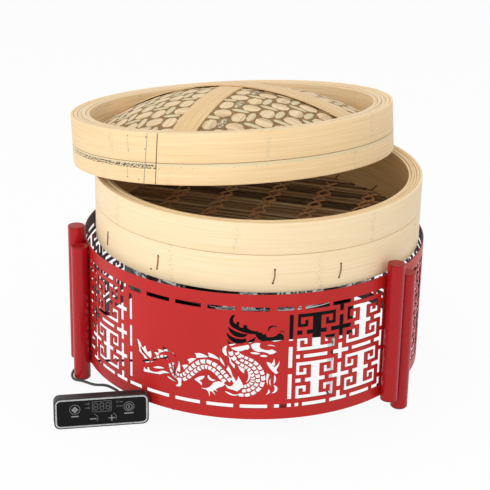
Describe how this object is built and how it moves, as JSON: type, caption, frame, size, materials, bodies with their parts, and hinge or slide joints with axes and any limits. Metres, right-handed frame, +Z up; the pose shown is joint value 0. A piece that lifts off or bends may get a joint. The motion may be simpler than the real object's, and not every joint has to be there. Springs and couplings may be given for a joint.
{
  "type": "dim sum station",
  "caption": "Bamboo steamer with a loose lid on a steel water pan and induction hob, inside a round pierced red steel skirt on posts, with a wired controller.",
  "frame": {"origin": "bottom centre of the whole object's box with the lid ajar, on the floor, the lead not counted", "axes": "+Z up, +X to the viewer's right, +Y to the rear; the dragon panel and the controller's keys face the front, -Y"},
  "size_m": [0.534, 0.5588, 0.4228],
  "materials": {
    "panel_paint": "semi-gloss red powder coat",
    "post_paint": "gloss red paint",
    "cap_plastic": "gloss red",
    "rubber": "matte",
    "screw_steel": "bright",
    "stand_steel": "grey powder coat",
    "hob_paint": "satin black",
    "hob_glass": "black glass ceramic",
    "coil_wire": "enamelled copper wire",
    "black_plastic": "matte",
    "circuit_board": "solder mask",
    "sink_metal": "extruded",
    "pan_steel": "polished",
    "base_bamboo": "bare bamboo, satin",
    "inner_bamboo": "bare bamboo",
    "lid_bamboo": "bare bamboo, satin",
    "woven_bamboo": "woven split bamboo",
    "strap_bamboo": "split bamboo",
    "slat_bamboo": "steam-darkened bamboo",
    "binding_thread": "waxed thread",
    "box_plastic": "fine texture",
    "face_plastic": "satin film",
    "display_window": "smoked",
    "key_plastic": "satin",
    "lead_rubber": "matte"
  },
  "bodies": {
    "cooker": {"box_back_shell": "box_plastic", "box_board": "circuit_board", "box_face_panel": "face_plastic", "box_front_shell": "box_plastic", "box_gland": "black_plastic", "box_screws": "screw_steel", "centring_tabs": "panel_paint", "coil": "coil_wire", "coil_carrier": "black_plastic", "control_lead": "lead_rubber", "display": "display_window", "fan_housing": "black_plastic", "front_left_high_post": "post_paint", "front_left_low_post": "post_paint", "front_panel": "panel_paint", "front_right_high_post": "post_paint", "front_right_low_post": "post_paint", "glass_top": "hob_glass", "heat_sink": "sink_metal", "hob_bezel": "hob_paint", "hob_feet": "rubber", "hob_gland": "black_plastic", "hob_housing": "hob_paint", "housing_screws": "screw_steel", "left_panel": "panel_paint", "mains_inlet": "black_plastic", "post_caps": "cap_plastic", "post_pads": "rubber", "post_straps": "panel_paint", "power_board": "circuit_board", "rear_high_post": "post_paint", "rear_low_post": "post_paint", "right_panel": "panel_paint", "stand_legs": "stand_steel", "stand_pads": "rubber", "stand_rails": "stand_steel", "strap_screws": "screw_steel"},
    "fan": {"fan_rotor": "black_plastic"},
    "water_pan": {"water_pan": "pan_steel"},
    "steamer_base": {"base_floor_ring": "inner_bamboo", "base_inner_wall": "inner_bamboo", "base_lower_band": "base_bamboo", "base_plies": "inner_bamboo", "base_stitches": "binding_thread", "base_upper_band": "base_bamboo", "floor_battens": "slat_bamboo", "floor_slats": "slat_bamboo", "floor_ties": "binding_thread"},
    "lid": {"lid_core": "lid_bamboo", "lid_lower_band": "lid_bamboo", "lid_plies": "lid_bamboo", "lid_strap_a": "strap_bamboo", "lid_strap_b": "strap_bamboo", "lid_upper_band": "lid_bamboo", "weave_ring": "lid_bamboo", "woven_dome": "woven_bamboo"},
    "menu_key": {"menu_key": "key_plastic"},
    "minus_key": {"minus_key": "key_plastic"},
    "plus_key": {"plus_key": "key_plastic"},
    "power_key": {"power_key": "key_plastic"}
  },
  "joints": [
    {"name": "fan_spin", "type": "hinge", "parent": "cooker", "child": "fan", "pos_m": [0.03439, 0.05856, 0.115], "axis": [0, 0, 1], "continuous": true},
    {"name": "pan_lift", "type": "slide", "parent": "cooker", "child": "water_pan", "axis": [0, 0, 1], "range_m": [0, 0.1]},
    {"name": "steamer_lift", "type": "slide", "parent": "water_pan", "child": "steamer_base", "axis": [0, 0, 1], "range_m": [0, 0.12]},
    {"name": "lid_lift", "type": "slide", "parent": "steamer_base", "child": "lid", "axis": [0, 0, 1], "range_m": [0, 0.12]},
    {"name": "menu_key_press", "type": "slide", "parent": "cooker", "child": "menu_key", "axis": [-0.1891, 0.982, 0], "range_m": [0, 0.0006], "stiffness_N_per_m": 800, "springref_m": -0.0005},
    {"name": "minus_key_press", "type": "slide", "parent": "cooker", "child": "minus_key", "axis": [-0.1891, 0.982, 0], "range_m": [0, 0.0006], "stiffness_N_per_m": 800, "springref_m": -0.0005},
    {"name": "plus_key_press", "type": "slide", "parent": "cooker", "child": "plus_key", "axis": [-0.1891, 0.982, 0], "range_m": [0, 0.0006], "stiffness_N_per_m": 800, "springref_m": -0.0005},
    {"name": "power_key_press", "type": "slide", "parent": "cooker", "child": "power_key", "axis": [-0.1891, 0.982, 0], "range_m": [0, 0.0006], "stiffness_N_per_m": 800, "springref_m": -0.0005}
  ]
}
